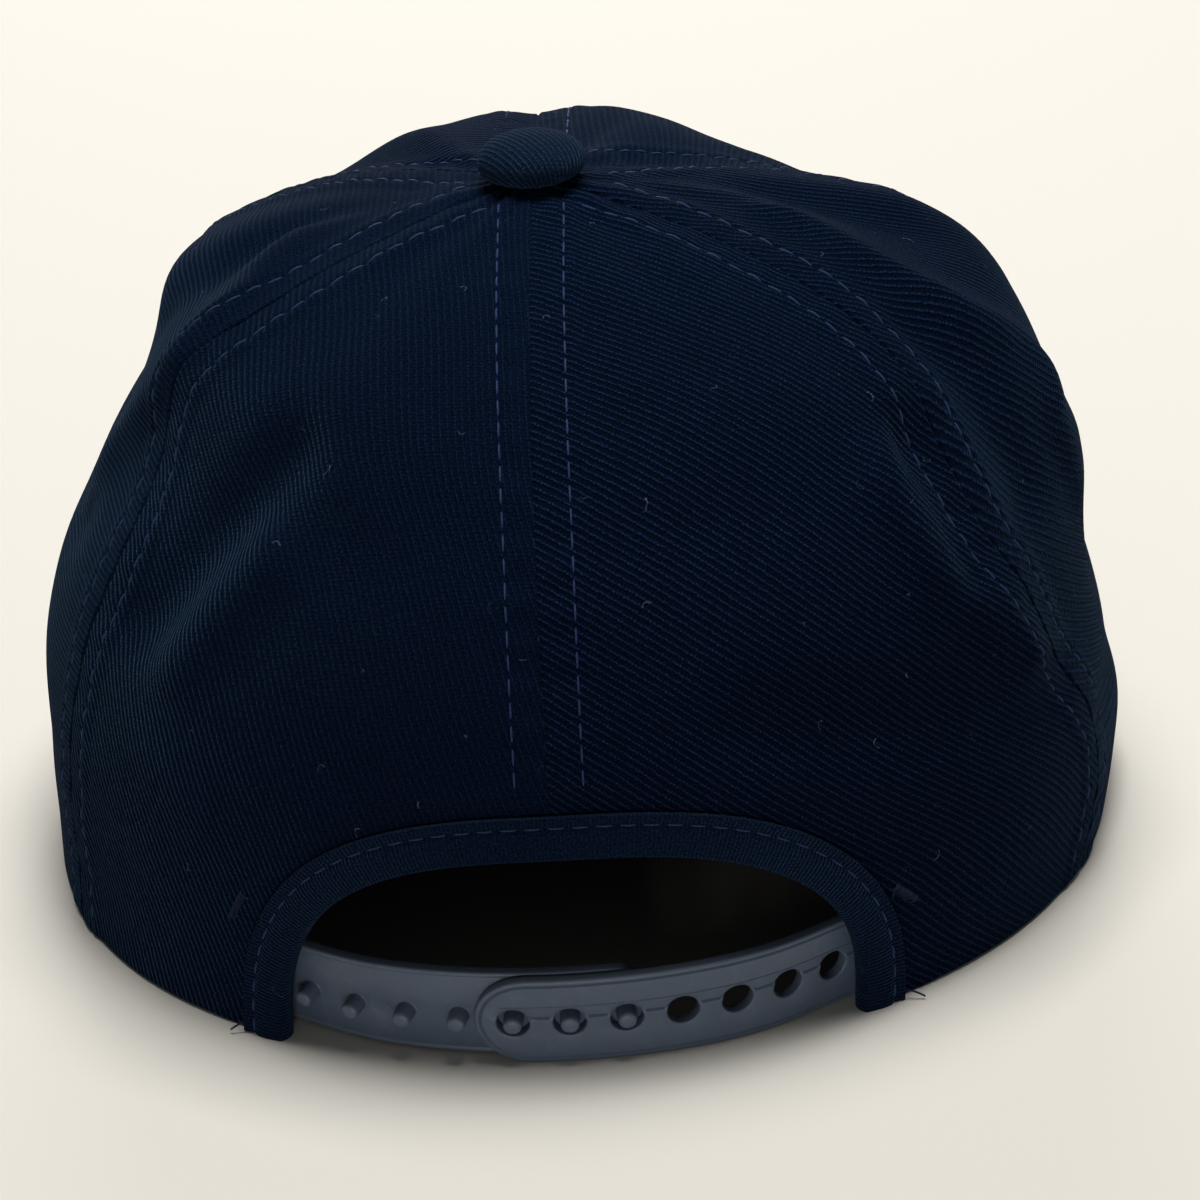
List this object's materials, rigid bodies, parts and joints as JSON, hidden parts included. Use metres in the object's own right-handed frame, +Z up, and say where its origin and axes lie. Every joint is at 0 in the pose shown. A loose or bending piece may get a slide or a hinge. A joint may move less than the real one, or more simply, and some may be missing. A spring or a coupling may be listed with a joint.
{
  "type": "trucker cap",
  "caption": "Soft panelled cloth cap with a curved peak, a cloth-covered top button, a bound rear opening and a plastic snap strap that sets the head size.",
  "frame": {"origin": "middle of the head opening, in the plane of the rim that stands on the floor", "axes": "+Y towards the peak, +X to the wearer's right, +Z up from the rim"},
  "size_m": [0.1895, 0.2685, 0.1324],
  "materials": {
    "crown_cloth": "dark navy cotton twill, matt, with topstitching of its own colour",
    "peak_cloth": "dark navy cotton twill over a stiff core, with rows of topstitching",
    "binding_tape": "dark navy ribbed tape, folded over the edge",
    "strap_plastic": "matt moulded dark blue-grey plastic"
  },
  "bodies": {
    "root": {"panel_front_left": "crown_cloth", "panel_front_right": "crown_cloth", "panel_side_left": "crown_cloth", "panel_side_right": "crown_cloth", "panel_back_left": "crown_cloth", "panel_back_right": "crown_cloth", "button": "crown_cloth", "peak": "peak_cloth", "arch_binding": "binding_tape", "strap_pegs": "strap_plastic", "strap_holes": "strap_plastic"}
  },
  "joints": []
}
